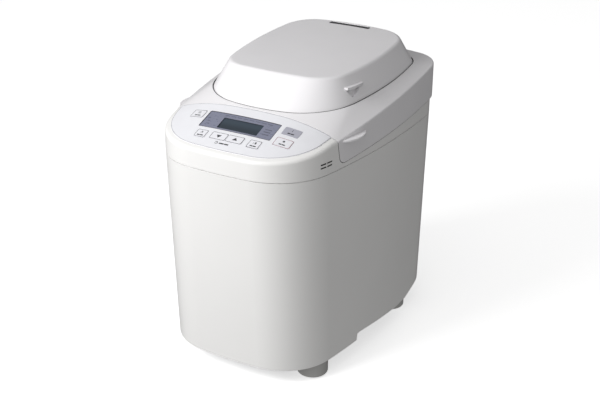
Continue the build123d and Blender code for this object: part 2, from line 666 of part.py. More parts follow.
with BuildPart() as power_board:
    with Locations((76, MOTOR_Y + 5, 35.5)):
        Box(1.6, 84, 78, align=(Align.CENTER, Align.CENTER, Align.MIN))
    with Locations((75.2, MOTOR_Y - 15, 80), (75.2, MOTOR_Y + 25, 92)):
        Box(18, 22, 20, align=(Align.MAX, Align.CENTER, Align.CENTER))
    with Locations((75.2, MOTOR_Y + 30, 60)):
        Cylinder(7, 16, rotation=(0, -90, 0), align=(Align.CENTER, Align.CENTER, Align.MIN))
write(power_board.part, "power_board")


# ---------------------------------------------------------------- lid
LINER_Z = 287.0
LINER_TOP_Z = LINER_Z + 1.2
DISPENSER_SIZE = (96.0, 74.0)
DISPENSER_Y = 54.0
TAB_R = 35.4  # grip tabs, each the edge of a disc
TAB_CENTRE = (91.9, -68.4)
TAB_Z = 310.6
dome_recess = prism(inset(DOME_PLAN, -LINE_GAP), 300, 420)
dispenser_hole = rounded_box(DISPENSER_SIZE, 12, 280, 400, (0, DISPENSER_Y))
lid_prism = prism(LID_PLAN, 280, 400)


def seat_space(drop):
    """The space above the dome's seat, lowered by drop."""
    with BuildPart() as body:
        with BuildSketch(sloping(DOME_SEAT_PLANE, -drop)):
            Rectangle(400, 600)
        extrude(amount=80)
    return body.part


def is_lid_rim(edge):
    """True for the edges between the lid's top and its sides."""
    middle = edge.center()
    below_seat = middle.Z < height(DOME_SEAT_PLANE, middle.Y) - 1
    above_edge = middle.Z > height(EDGE_PLANE, middle.Y) - 4
    return below_seat and above_edge and middle.Y > LID_FRONT_Y + 2


with BuildPart() as lid_block:
    add(lid_prism)
    add(hill_top, mode=Mode.INTERSECT)
    add(lid_space, mode=Mode.INTERSECT)
    top_rim = lid_block.edges().filter_by(is_lid_rim)
    fillet(top_rim, 2.2)

with BuildPart() as lid_hollow:
    add(prism(inset(LID_PLAN, WALL), 270, 400))
    add(hill_under, mode=Mode.INTERSECT)
    add(seat_space(5.5), mode=Mode.SUBTRACT)
    with Locations((0, LID_FRONT_Y + WALL, 330)):
        Box(300, 400, 200, align=(Align.CENTER, Align.MIN, Align.CENTER), mode=Mode.INTERSECT)

with BuildPart() as hinge_barrel:
    with Locations((0, LID_HINGE[0] + 3, 300)):
        Box(124, 7, 9)
    add(lid_prism, mode=Mode.INTERSECT)
    with Locations((0, *LID_HINGE)):
        Cylinder(6.2, 124, rotation=(0, 90, 0))

with BuildPart() as grip_tabs:
    with Locations((-TAB_CENTRE[0], TAB_CENTRE[1], TAB_Z), (TAB_CENTRE[0], TAB_CENTRE[1], TAB_Z)):
        Cylinder(TAB_R, 3.2)
    fillet(grip_tabs.edges().filter_by(GeomType.CIRCLE), 1.2)
    with Locations((-120, TAB_CENTRE[1], TAB_Z), (120, TAB_CENTRE[1], TAB_Z)):
        Box(20, 60, 10, mode=Mode.INTERSECT)
    add(prism(inset(LID_PLAN, 1.2), 280, 400), mode=Mode.SUBTRACT)

with BuildPart() as lid:
    add(lid_block.part)
    add(lid_hollow.part, mode=Mode.SUBTRACT)
    add(dome_recess & seat_space(3.0), mode=Mode.SUBTRACT)
    add(dispenser_hole, mode=Mode.SUBTRACT)
    with Locations((-HINGE_EAR_X, LID_HINGE[0], 297), (HINGE_EAR_X, LID_HINGE[0], 297)):
        Box(10.5, 16, 11, mode=Mode.SUBTRACT)
    add(hinge_barrel.part)
    with Locations((0, *LID_HINGE)):
        Cylinder(HINGE_PIN_R + RUNNING_FIT, 170, rotation=(0, 90, 0), mode=Mode.SUBTRACT)
    add(grip_tabs.part)
    for x in (-47.0, 47.0):
        with Locations((x, DOME_HINGE[0], DOME_HINGE[1] - 3)):
            Box(4, 6.4, 6.4)
        with Locations((x, *DOME_HINGE)):
            Cylinder(3.2, 4, rotation=(0, 90, 0))
    with Locations((0, *DOME_HINGE)):
        Cylinder(1.4, 110, rotation=(0, 90, 0), mode=Mode.SUBTRACT)
write(lid.part, "lid")

with BuildPart() as hinge_pins:
    for x in (-60.5, 60.5):
        with Locations((x, *LID_HINGE)):
            Cylinder(HINGE_PIN_R, 22, rotation=(0, 90, 0))
write(hinge_pins.part, "hinge_pins")

liner_hollow = prism(inset(CASE_PLAN, 4.5), LINER_TOP_Z, 310)
with BuildPart() as lid_liner:
    add(prism(inset(CASE_PLAN, 3.5), LINER_Z, 303))
    add(prism(inset(LID_PLAN, WALL), 302, 303))
    add(liner_hollow, mode=Mode.SUBTRACT)
    with Locations((0, LID_FRONT_Y + WALL, 300)):
        Box(300, 263.5, 60, align=(Align.CENTER, Align.MIN, Align.CENTER), mode=Mode.INTERSECT)
    with Locations((0, 56.25, LINER_Z)):
        Box(82, 67.5, 10, mode=Mode.SUBTRACT)
write(lid_liner.part, "lid_liner")

with BuildPart() as lid_gasket:
    add(rounded_box((CHAMBER_SIZE[0] + 22, CHAMBER_SIZE[1] + 22), CHAMBER_CORNER + 11, 284.8, LINER_Z))
    add(rounded_box((CHAMBER_SIZE[0] + 8, CHAMBER_SIZE[1] + 8), CHAMBER_CORNER + 4, 280, 290),
        mode=Mode.SUBTRACT)
write(lid_gasket.part, "lid_gasket")

with BuildPart() as dispenser_box:
    add(rounded_box((DISPENSER_SIZE[0] + 8, DISPENSER_SIZE[1] + 8), 16, 330, 360, (0, DISPENSER_Y)))
    add(seat_space(3.0), mode=Mode.INTERSECT)
    add(seat_space(1.8), mode=Mode.SUBTRACT)
    add(rounded_box((DISPENSER_SIZE[0] - 0.4, DISPENSER_SIZE[1] - 0.4), 11.8, LINER_TOP_Z, 341,
                    (0, DISPENSER_Y)))
    add(rounded_box((DISPENSER_SIZE[0] - 3.4, DISPENSER_SIZE[1] - 3.4), 10.3, 280, 360, (0, DISPENSER_Y)),
        mode=Mode.SUBTRACT)
    with Locations((0, *FLAP_HINGE)):
        Cylinder(1.2, 120, rotation=(0, 90, 0), mode=Mode.SUBTRACT)
write(dispenser_box.part, "dispenser_box")

with BuildPart() as flap_pin:
    with Locations((0, *FLAP_HINGE)):
        Cylinder(1.2, 95, rotation=(0, 90, 0))
write(flap_pin.part, "flap_pin")

with BuildPart() as dispenser_flap:
    with Locations((0, 54.0, LINER_Z + 0.4)):
        Box(81, 62, 1.6)
    fillet(dispenser_flap.edges().filter_by(Axis.Z), 6.0)
    with Locations((0, 84.0, LINER_Z + 2.2)):
        Box(76, 2.4, 4)
    with Locations((0, *FLAP_HINGE)):
        Cylinder(2.4, 76, rotation=(0, 90, 0))
    with Locations((0, *FLAP_HINGE)):
        Cylinder(1.2 + RUNNING_FIT, 100, rotation=(0, 90, 0), mode=Mode.SUBTRACT)
write(dispenser_flap.part, "dispenser_flap")

SOLENOID = (68.0, 50.0, 299.0)
with BuildPart() as dispenser_solenoid:
    with Locations((SOLENOID[0], SOLENOID[1], LINER_TOP_Z)):
        Box(26, 34, 21, align=(Align.CENTER, Align.CENTER, Align.MIN))
    with Locations(SOLENOID):
        Cylinder(3.0 + GAP, 30, rotation=(90, 0, 0), align=(Align.CENTER, Align.CENTER, Align.MAX),
                 mode=Mode.SUBTRACT)
write(dispenser_solenoid.part, "dispenser_solenoid")

with BuildPart() as solenoid_plunger:
    with Locations((SOLENOID[0], SOLENOID[1] + 7, SOLENOID[2])):
        Cylinder(3.0, 22, rotation=(90, 0, 0), align=(Align.CENTER, Align.CENTER, Align.MAX))
    with Locations((SOLENOID[0], SOLENOID[1] + 31, SOLENOID[2])):
        Box(12, 5, 8)
write(solenoid_plunger.part, "solenoid_plunger")


# ---------------------------------------------------------------- dispenser lid
CROWN = 3.5
CROWN_R = 1081.0
SLOT_Y = 135.0
SLOT_SIZE = (60.0, 9.0)
LEDGE_R = 60.0


def dome_solid(amount):
    """The dome's outer form drawn in by amount, with its gently crowned top."""
    angle = degrees(atan(DOME_CREST_PLANE[1]))
    top_z = DOME_CREST_PLANE[0] + CROWN - amount
    with BuildPart() as body:
        with BuildSketch(sloping(DOME_SEAT_PLANE, -1.6)) as low:
            plan_face(low, inset(DOME_PLAN, amount), DOME_SEAT_PLANE[1])
        with BuildSketch(sloping(DOME_CREST_PLANE, 8.0)) as high:
            plan_face(high, inset(CREST_PLAN, amount + 4.7, rear=-3.2), DOME_CREST_PLANE[1])
        loft(ruled=True)
        with Locations(Location((0, 40, top_z - CROWN_R + DOME_CREST_PLANE[1] * 40), (90 + angle, 0, 0))):
            Cylinder(CROWN_R, 500, mode=Mode.INTERSECT)
    return body.part


SCOOP_AT = (90.4, -25.5, 353.0)  # middle of the finger ledge on the dome's right wall
scoop_plane = Plane(origin=SCOOP_AT, x_dir=(0.163, 0.987, 0), z_dir=(0.855, -0.141, 0.5))
dome_outer = dome_solid(0.0)
dome_inner = dome_solid(DOME_WALL)
with BuildPart() as finger_scoop:
    with BuildSketch(scoop_plane.offset(3)):
        Polygon((-15, -1), (15, -1), (-2, -11.5), (-7, -11.5), align=None)
    extrude(amount=-7.5, taper=12)
with BuildPart() as scoop_backing:
    with BuildSketch(scoop_plane.offset(3)):
        Polygon((-19, 4), (19, 4), (2, -14.5), (-11, -14.5), align=None)
    extrude(amount=-9.5, taper=6)
    add(dome_outer, mode=Mode.INTERSECT)
with BuildPart() as finger_ledge:
    with Locations((SCOOP_AT[0] - 55.7, SCOOP_AT[1] + 9.8, SCOOP_AT[2] + 1.0)):
        Cylinder(LEDGE_R, 3.0)
    with Locations((SCOOP_AT[0], SCOOP_AT[1] + 2.5, SCOOP_AT[2])):
        Box(24, 32, 10, mode=Mode.INTERSECT)
    add(dome_solid(1.0), mode=Mode.SUBTRACT)

with BuildPart() as dispenser_lid:
    add(dome_outer)
    crest = dispenser_lid.faces().sort_by(Axis.Z)[-1].edges()
    fillet(crest, 6.0)
    add(dome_inner, mode=Mode.SUBTRACT)
    add(scoop_backing.part)
    add(finger_scoop.part, mode=Mode.SUBTRACT)
    add(finger_ledge.part)
    for x in (-40.0, 40.0):
        with Locations((x, DOME_HINGE[0] - 5, DOME_HINGE[1] - 0.4)):
            Box(9, 10, 4)
        with Locations((x, *DOME_HINGE)):
            Cylinder(3.0, 9, rotation=(0, 90, 0))
    with Locations((0, *DOME_HINGE)):
        Cylinder(1.4 + RUNNING_FIT, 110, rotation=(0, 90, 0), mode=Mode.SUBTRACT)
    with Locations((0, SLOT_Y, 375)):
        Box(*SLOT_SIZE, 20, mode=Mode.SUBTRACT)
write(dispenser_lid.part, "dispenser_lid")

with BuildPart() as dispenser_lid_pins:
    for x in (-42.5, 42.5):
        with Locations((x, *DOME_HINGE)):
            Cylinder(1.4, 13, rotation=(0, 90, 0))
write(dispenser_lid_pins.part, "dispenser_lid_pins")

with BuildPart() as vent_insert:
    add(dome_solid(0.6))
    with Locations((0, SLOT_Y, 372)):
        Box(SLOT_SIZE[0] - 0.4, SLOT_SIZE[1] - 0.4, 14, mode=Mode.INTERSECT)

with BuildPart() as steam_vent:
    with Locations((0, SLOT_Y, 369.5)):
        Box(SLOT_SIZE[0] + 8, SLOT_SIZE[1] + 6, 12)
    add(dome_inner, mode=Mode.INTERSECT)
    add(vent_insert.part)
    with Locations((0, SLOT_Y, 370)):
        with GridLocations(9.6, 4, 6, 2):
            Box(7.6, 1.6, 30, mode=Mode.SUBTRACT)
write(steam_vent.part, "steam_vent")
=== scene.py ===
"""Looks of a domestic bread machine: finishes for its moulded case, lids, keys, display, baking chamber,
pan, blade and drive, with the printed key marks, the display window, the studio floor, lights and camera."""

import json
from math import cos, pi, radians, sin

import bmesh
import bpy
from bpy.props import FloatProperty, FloatVectorProperty, PointerProperty
from mathutils import Matrix, Vector
from mathutils.bvhtree import BVHTree


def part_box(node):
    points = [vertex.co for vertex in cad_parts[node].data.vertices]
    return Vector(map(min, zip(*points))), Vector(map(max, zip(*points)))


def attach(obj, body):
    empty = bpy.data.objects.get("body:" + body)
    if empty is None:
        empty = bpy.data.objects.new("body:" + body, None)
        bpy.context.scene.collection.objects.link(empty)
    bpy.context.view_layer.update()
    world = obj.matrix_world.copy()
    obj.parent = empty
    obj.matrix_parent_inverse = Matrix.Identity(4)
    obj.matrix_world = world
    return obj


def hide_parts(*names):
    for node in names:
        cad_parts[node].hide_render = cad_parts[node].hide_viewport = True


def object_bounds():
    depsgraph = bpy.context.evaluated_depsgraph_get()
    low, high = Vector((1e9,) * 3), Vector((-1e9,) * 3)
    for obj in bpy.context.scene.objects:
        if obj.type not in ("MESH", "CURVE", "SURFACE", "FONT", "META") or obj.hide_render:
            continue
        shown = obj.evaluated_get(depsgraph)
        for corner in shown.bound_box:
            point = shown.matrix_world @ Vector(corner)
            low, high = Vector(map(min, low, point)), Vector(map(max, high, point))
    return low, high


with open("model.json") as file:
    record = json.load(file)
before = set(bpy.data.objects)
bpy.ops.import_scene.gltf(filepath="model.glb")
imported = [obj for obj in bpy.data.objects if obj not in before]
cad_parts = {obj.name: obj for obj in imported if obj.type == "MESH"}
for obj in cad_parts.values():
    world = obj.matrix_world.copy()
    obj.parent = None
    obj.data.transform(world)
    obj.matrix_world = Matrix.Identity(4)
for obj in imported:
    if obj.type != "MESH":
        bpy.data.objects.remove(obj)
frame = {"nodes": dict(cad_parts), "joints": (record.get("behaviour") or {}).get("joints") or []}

bl_info = {
    "name": "Bread machine",
    "version": (1, 0, 0),
    "blender": (4, 5, 0),
    "location": "3D View > Sidebar > Bread machine",
    "description": "Finishes and printed details of a bread machine around its packed frame",
    "category": "Object",
}

MM = 0.001
NODES = frame["nodes"]
CAD_LOW, CAD_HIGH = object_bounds()
JOINTS = {joint["name"]: joint for joint in frame["joints"]}
RIGHT = Vector((1, 0, 0))
OUT = -Vector(JOINTS["menu_key_press"]["axis"]).normalized()  # out of the key panel
UP = Vector((0, OUT.z, -OUT.y))  # up the key panel's slope
FRONT = Vector((0.0, -0.97, 0.25)).normalized()  # where the light from all round is strongest
ABOVE = 1.0  # how far over the panel a search for its surface starts
WHITE = (1.0, 1.0, 1.0, 1.0)

KEYS = ["menu_key", "option_key", "timer_down_key", "timer_up_key", "crust_key", "start_key", "stop_key"]
OUTLINED = [name for name in KEYS if name != "start_key"]

# dark rings of painted shade, in the gap round the dispenser lid and in the seam along the lid's front edge
GAP_SHADE_STEP = 4 * MM  # between points of the dark ring of painted shade round the dispenser lid
GAP_SHADE_NORMAL = Vector((0, -0.06, 1))  # square to the rim above that ring
GAP_SHADE_REACH = (0.1 * MM, 0.6 * MM)  # its inner and outer side, out from the rim
GAP_SHADE_LEVELS = (-1.2 * MM, 1.65 * MM)  # its underside and top, from the rim's lower edge
SEAM_SHADE_DEPTHS = (0.3 * MM, 1.6 * MM)  # the lid's dark bead of painted seam shade, below the top of the lid's front edge
SEAM_SHADE_HEIGHTS = (0.0, 0.45 * MM)  # how far it stands out of the front edge's face
CLOSED_GAP = 20 * MM  # a line whose ends are nearer than this runs all the way round

# mesh behind the band's slots
SLOT_SIDE = 0.1  # the slots lie further to the right than this
SLOT_CLEARANCE = 3 * MM  # and at least this far in front of the lid
SLOT_BAND = (8 * MM, 18 * MM)  # between these heights over the band's lower edge
MESH_DEPTHS = (0.5 * MM, 1.5 * MM)  # front and back of the mesh, in from the band's side
MESH_STEPS = 8  # stations along it
ASIDE = 0.5  # how far to the right a search for the band's side starts

# print
SIDE_STEPS = 8  # points along each side of a printed rectangle
CORNER_STEPS = 4  # points round each of its corners
OUTLINE_EDGE = 0.12 * MM  # from a key's edge to its printed outline
OUTLINE_CORNERS = (1.5 * MM, 1.1 * MM)  # outer and inner corner radius of that outline
SIDE_MARGIN = 0.05 * MM  # points this near to an outline's left side belong to it
ICON_RISE = 2.2 * MM  # a key's icon above its middle
ICON_TALL = 3.4 * MM
ARROW = 3.4 * MM  # half the width of a timer key's triangle
LEGEND_DROP = 3.1 * MM  # a key's two bars below its middle
LEGEND_TALL = 1.7 * MM
BORDER_STEP = 2.5 * MM  # between points of the line round the film
BORDER_EDGE = 0.15 * MM  # from the film's edge to that line
CAPTION_DROP = 5.0 * MM  # the timer keys' caption below them
CAPTION_TALL = 1.9 * MM
CLOCK_RADII = (2.1 * MM, 1.5 * MM)  # outer and inner radius of the caption's clock ring
CLOCK_STEPS = 20

# display
DISPLAY_BORDER = (5 * MM, 3 * MM)  # how far the display module reaches past its visible glass
GLASS_THICKNESS = 0.3 * MM
GLASS_CORNER = 0.8 * MM
RIM_INSET = 0.02 * MM  # the window's rim, in from the window's edge
RIM_TOP = -0.08 * MM  # and its top, against the film
RIM_CORNERS = (1.5 * MM, 1.2 * MM)  # its outer and inner corner radius

# studio
FLOOR_SPAN = 6.0  # half the floor's width
FLOOR_GLOW = 0.6
SOFTBOXES = {  # place, target and size
    "key_softbox": ((-0.57, -1.06, 0.95), (0, -0.08, 0.22), (0.7, 0.6)),
    "top_softbox": ((0.05, -0.38, 0.95), (0.02, -0.02, 0.36), (0.5, 0.5)),
}
REAR_SHARE, FRONT_SHARE = 0.25, 1.75  # of the ambient light, behind and in front
SENSOR_WIDTH = 36.0  # in millimetres
CAMERA_SHIFT = (-0.0082, -0.0142)
AIM_BACK, AIM_DOWN = 0.0185, 0.010  # where the camera looks, from the middle of the machine


# ---------------------------------------------------------------- properties
def colour(name, description, default):
    """A colour property in linear light."""
    return FloatVectorProperty(
        name=name, description=description, default=default, subtype="COLOR", size=3, min=0.0, max=1.0
    )


def length(name, description, default):
    """A length property in metres."""
    return FloatProperty(name=name, description=description, default=default, unit="LENGTH", min=0.0)


class BreadMachineColours(bpy.types.PropertyGroup):
    """Colours of the bread machine's finishes."""

    case: colour("Case", "Moulded case and console band", (0.84, 0.834, 0.822))
    lid: colour("Lid", "Moulded lid and dispenser lid", (0.835, 0.822, 0.838))
    film: colour("Panel film", "Printed film over the console", (0.775, 0.777, 0.808))
    key: colour("Key caps", "Film over the keys", (0.765, 0.765, 0.80))
    start_key: colour("Start key", "Grey film over the start key", (0.40, 0.40, 0.46))
    stop_print: colour("Stop key print", "Outline of the stop key", (0.28, 0.10, 0.12))
    ink: colour("Print", "Printed outlines and marks", (0.035, 0.035, 0.04))
    border: colour("Film border", "Grey line round the console film", (0.36, 0.36, 0.39))
    faint_ink: colour("Window print", "Faint print on the display window", (0.095, 0.10, 0.135))
    # the feet are darker than the case by painted shade: it stands in for the shadow they sit in under the
    # case
    foot: colour("Feet", "Moulded feet", (0.42, 0.417, 0.405))
    window: colour("Window", "Tinted window round the display", (0.205, 0.215, 0.285))
    display: colour("Display", "Unlit liquid crystal display", (0.028, 0.042, 0.058))
    coating: colour("Pan coating", "Non-stick coating of pan and blade", (0.045, 0.045, 0.05))
    zinc: colour("Zinc sheet", "Chamber, liner and brackets", (0.50, 0.50, 0.49))
    steel: colour("Steel", "Shafts, pins and wire", (0.62, 0.62, 0.64))
    alloy: colour("Cast alloy", "Pan base, socket and dogs", (0.55, 0.55, 0.56))
    bronze: colour("Bronze", "Sintered bushes", (0.42, 0.26, 0.11))
    # this colour also paints the dark rings of painted shade in the gap round the dispenser lid and in the
    # lid's front seam
    rubber: colour("Rubber", "Belt and foot pads", (0.022, 0.022, 0.022))
    silicone: colour("Silicone", "Lid gasket", (0.55, 0.55, 0.53))
    heater: colour("Heater sheath", "Oxidised sheath of the heater", (0.16, 0.155, 0.15))
    moulding: colour("Dark moulding", "Base plate, gland and pulleys", (0.035, 0.035, 0.038))
    board: colour("Circuit board", "Glass-fibre boards", (0.02, 0.11, 0.045))
    paint: colour("Motor paint", "Motor and solenoid cans", (0.10, 0.11, 0.12))
    floor: colour("Floor", "Studio floor", (0.93, 0.93, 0.93))


class BreadMachineSizes(bpy.types.PropertyGroup):
    """Sizes of the pieces that this script adds to the frame."""

    line_width: length("Line width", "Width of the printed key outlines", 0.5 * MM)
    print_height: length("Print height", "How far print stands above a key", 0.05 * MM)
    print_depth: length("Print depth", "How far print reaches into a key", 0.12 * MM)
    window_recess: length("Window recess", "Depth of the window below the film", 0.6 * MM)
    display_recess: length("Display recess", "Depth of the display below the window", 0.9 * MM)
    border_width: length("Border width", "Width of the line round the console film", 0.6 * MM)
    rim: length("Window rim", "Thickness of the window's upstanding rim", 0.55 * MM)


class BreadMachineStage(bpy.types.PropertyGroup):
    """The studio: camera and lights."""

    azimuth: FloatProperty(name="Azimuth", description="Camera angle round the machine",
                           default=radians(29.7), subtype="ANGLE")
    elevation: FloatProperty(name="Elevation", description="Camera angle above the horizon",
                             default=radians(23.5), subtype="ANGLE")
    roll: FloatProperty(name="Roll", description="Camera roll", default=radians(0.6), subtype="ANGLE")
    distance: length("Distance", "From the camera to the point that it looks at", 1.5271)
    lens: FloatProperty(name="Lens", description="Focal length in millimetres", default=69.18)
    key_light: FloatProperty(name="Key light", description="Power of the front left softbox", default=14.3,
                             unit="POWER")
    top_light: FloatProperty(name="Top light", description="Power of the overhead softbox", default=0.4,
                             unit="POWER")
    ambient: FloatProperty(name="Ambient", description="Strength of the light from all round", default=0.35)


def sizes():
    """The sizes that the user has set."""
    return bpy.context.scene.bread_machine_sizes


def colours():
    """The colours that the user has set."""
    return bpy.context.scene.bread_machine_colours


# ---------------------------------------------------------------- finishes
class Finish:
    """A material under construction: its node tree, its surface shader and one shared position."""

    def __init__(self, name, roughness, metallic=0.0, coat=0.0):
        self.material = bpy.data.materials.new(name)
        self.material.use_nodes = True
        self.tree = self.material.node_tree
        self.surface = self.tree.nodes["Principled BSDF"]
        self.surface.inputs["Roughness"].default_value = roughness
        self.surface.inputs["Metallic"].default_value = metallic
        self.surface.inputs["Coat Weight"].default_value = coat
        self.surface.inputs["Coat Roughness"].default_value = 0.12
        self.position = self.tree.nodes.new("ShaderNodeTexCoord")

    def node(self, kind, **inputs):
        """A node with its constant inputs set by name."""
        made = self.tree.nodes.new(kind)
        for name, value in inputs.items():
            made.inputs[name].default_value = value
        return made

    def noise(self, scale, detail=3.0, stretch=(1.0, 1.0, 1.0)):
        """Noise with this many waves per metre, stretched along the axes."""
        mapping = self.node("ShaderNodeMapping", Scale=stretch)
        texture = self.node("ShaderNodeTexNoise", Scale=scale, Detail=detail)
        self.tree.links.new(self.position.outputs["Object"], mapping.inputs["Vector"])
        self.tree.links.new(mapping.outputs["Vector"], texture.inputs["Vector"])
        return texture.outputs["Fac"]

    def spread(self, value, low, high):
        """The pattern's middle range spread from low to high."""
        ranged = self.node("ShaderNodeMapRange", **{"From Min": 0.3, "From Max": 0.7, "To Min": low,
                                                    "To Max": high})
        self.tree.links.new(value, ranged.inputs["Value"])
        return ranged.outputs["Result"]

    def tint(self, value, base, amount):
        """Base colour that varies with the pattern by this share."""
        mix = self.tree.nodes.new("ShaderNodeMix")
        mix.data_type = "RGBA"
        factor, first, second = (socket for socket in mix.inputs if socket.name in ("Factor", "A", "B")
                                 and socket.enabled)
        first.default_value = (*[channel * (1 - amount) for channel in base], 1)
        second.default_value = (*[min(1.0, channel * (1 + amount)) for channel in base], 1)
        self.tree.links.new(self.spread(value, 0.0, 1.0), factor)
        result = next(socket for socket in mix.outputs if socket.enabled)
        self.tree.links.new(result, self.surface.inputs["Base Color"])

    def polish(self, value, low, high):
        """Roughness that varies with the pattern."""
        self.tree.links.new(self.spread(value, low, high), self.surface.inputs["Roughness"])

    def relief(self, value, height, edge=0.0):
        """A bump of this height in metres; edge softens the corners by that radius."""
        bump = self.node("ShaderNodeBump", Strength=1.0, Distance=height)
        self.tree.links.new(value, bump.inputs["Height"])
        if edge:
            rounded = self.node("ShaderNodeBevel", Radius=edge)
            self.tree.links.new(rounded.outputs["Normal"], bump.inputs["Normal"])
        self.tree.links.new(bump.outputs["Normal"], self.surface.inputs["Normal"])


def moulded_plastic(name, base, roughness=0.34, grain=0.000012, edge=0.0006):
    """Glossy injection-moulded plastic with a faint orange-peel surface and softened edges."""
    finish = Finish(name, roughness, coat=0.12)
    finish.tint(finish.noise(9.0, 4.0), base, 0.012)
    finish.polish(finish.noise(45.0, 3.0), roughness - 0.05, roughness + 0.05)
    finish.relief(finish.noise(950.0, 2.0), grain, edge)
    return finish.material


def printed_film(name, base, roughness=0.42):
    """Satin film with a fine even tooth."""
    finish = Finish(name, roughness)
    finish.tint(finish.noise(60.0, 3.0), base, 0.015)
    finish.polish(finish.noise(400.0, 2.0), roughness - 0.05, roughness + 0.07)
    finish.relief(finish.noise(2600.0, 2.0), 0.000009)
    return finish.material


def matt_moulding(name, base, roughness=0.62):
    """Dark structural moulding with a spark-eroded texture."""
    finish = Finish(name, roughness)
    finish.tint(finish.noise(30.0, 4.0), base, 0.12)
    finish.polish(finish.noise(250.0, 3.0), roughness - 0.08, roughness + 0.1)
    finish.relief(finish.noise(1500.0, 3.0), 0.00003, 0.0004)
    return finish.material


def sheet_metal(name, base, roughness=0.38, stretch=(1.0, 1.0, 14.0)):
    """Rolled sheet with drawn grain and faint handling marks."""
    finish = Finish(name, roughness, metallic=1.0)
    finish.tint(finish.noise(22.0, 5.0), base, 0.09)
    finish.polish(finish.noise(160.0, 4.0, stretch), roughness - 0.1, roughness + 0.12)
    finish.relief(finish.noise(240.0, 3.0, stretch), 0.00001)
    return finish.material


def turned_metal(name, base, roughness=0.24):
    """Turned or drawn metal with fine rings across its length."""
    finish = Finish(name, roughness, metallic=1.0)
    finish.tint(finish.noise(60.0, 3.0), base, 0.06)
    finish.polish(finish.noise(300.0, 3.0, (1.0, 1.0, 8.0)), roughness - 0.08, roughness + 0.1)
    finish.relief(finish.noise(900.0, 2.0, (0.2, 0.2, 6.0)), 0.000008)
    return finish.material


def cast_metal(name, base, roughness=0.46, pits=0.00006):
    """Cast or sintered metal with a grainy skin."""
    finish = Finish(name, roughness, metallic=1.0)
    finish.tint(finish.noise(80.0, 5.0), base, 0.1)
    finish.polish(finish.noise(300.0, 4.0), roughness - 0.1, roughness + 0.14)
    finish.relief(finish.noise(900.0, 5.0), pits)
    return finish.material


def non_stick(name, base):
    """Sprayed non-stick coating: dark, semi-gloss, with a pale fleck."""
    finish = Finish(name, 0.36, coat=0.25)
    fleck = finish.node("ShaderNodeTexVoronoi", Scale=700.0)
    finish.tree.links.new(finish.position.outputs["Object"], fleck.inputs["Vector"])
    fine = finish.node("ShaderNodeMapRange", **{"From Min": 0.05, "From Max": 0.16, "To Min": 1.0,
                                                "To Max": 0.0})
    finish.tree.links.new(fleck.outputs["Distance"], fine.inputs["Value"])
    finish.tint(fine.outputs["Result"], base, 0.45)
    finish.polish(finish.noise(500.0, 3.0), 0.3, 0.44)
    finish.relief(finish.noise(1300.0, 3.0), 0.00003, 0.0005)
    return finish.material


def soft_rubber(name, base, roughness=0.7):
    """Moulded rubber or silicone with a dusty bloom."""
    finish = Finish(name, roughness)
    finish.tint(finish.noise(120.0, 5.0), base, 0.14)
    finish.polish(finish.noise(90.0, 3.0), roughness - 0.1, roughness + 0.12)
    finish.relief(finish.noise(1100.0, 4.0), 0.00004)
    return finish.material


def circuit_board(name, base):
    """Green resist over woven glass fibre."""
    finish = Finish(name, 0.4, coat=0.2)
    weave = finish.noise(700.0, 1.0, (1.0, 0.25, 1.0))
    finish.tint(weave, base, 0.25)
    finish.polish(weave, 0.3, 0.5)
    finish.relief(weave, 0.00002)
    return finish.material


def display_glass(name, base):
    """Unlit display behind clear glass, a little paler towards its lower edge; that change in tone is painted
    shade of the recess.
    """
    finish = Finish(name, 0.16, coat=0.35)
    split = finish.tree.nodes.new("ShaderNodeSeparateXYZ")
    finish.tree.links.new(finish.position.outputs["Generated"], split.inputs["Vector"])
    # painted shade: the display's colour runs from dark to pale across the glass, standing in for the
    # recess's shadow
    finish.tint(split.outputs["Y"], base, 0.22)
    finish.polish(finish.noise(90.0, 3.0), 0.1, 0.2)
    finish.relief(finish.noise(1800.0, 1.0), 0.000003)
    return finish.material


# ---------------------------------------------------------------- mesh tools
def dress(material, *names):
    """Gives CAD nodes this finish."""
    for name in names:
        NODES[name].data.materials.clear()
        NODES[name].data.materials.append(material)


def panel_span(name):
    """Least and greatest position of a node across the panel and up its slope."""
    across = [vertex.co.dot(RIGHT) for vertex in NODES[name].data.vertices]
    along = [vertex.co.dot(UP) for vertex in NODES[name].data.vertices]
    return min(across), max(across), min(along), max(along)


def top_surface(name):
    """A search tree over a node's faces."""
    mesh = NODES[name].data
    return BVHTree.FromPolygons([vertex.co for vertex in mesh.vertices],
                                [face.vertices for face in mesh.polygons])


def on_surface(tree, across, along, lift=0.0):
    """The point of the surface at this place on the panel, raised by lift."""
    start = RIGHT * across + UP * along + OUT * ABOVE
    found = tree.ray_cast(start, -OUT)[0]
    if found is None:
        raise RuntimeError(f"nothing lies under the print at {across:.4f}, {along:.4f}")
    return found + OUT * lift


def rounded_rectangle(span, inset, radius):
    """Points round a rectangle drawn in by inset, with sides and corners evenly divided."""
    left, right, low, high = span[0] + inset, span[1] - inset, span[2] + inset, span[3] - inset
    corners = [(right - radius, low + radius, -90), (right - radius, high - radius, 0),
               (left + radius, high - radius, 90), (left + radius, low + radius, 180)]
    points = []
    for index, (x, y, start) in enumerate(corners):
        for step in range(CORNER_STEPS + 1):
            angle = radians(start + 90 * step / CORNER_STEPS)
            points.append((x + radius * cos(angle), y + radius * sin(angle)))
        after = corners[(index + 1) % 4]
        begin = points[-1]
        angle = radians(after[2])
        end = (after[0] + radius * cos(angle), after[1] + radius * sin(angle))
        for step in range(1, SIDE_STEPS):
            share = step / SIDE_STEPS
            points.append((begin[0] + (end[0] - begin[0]) * share, begin[1] + (end[1] - begin[1]) * share))
    return points


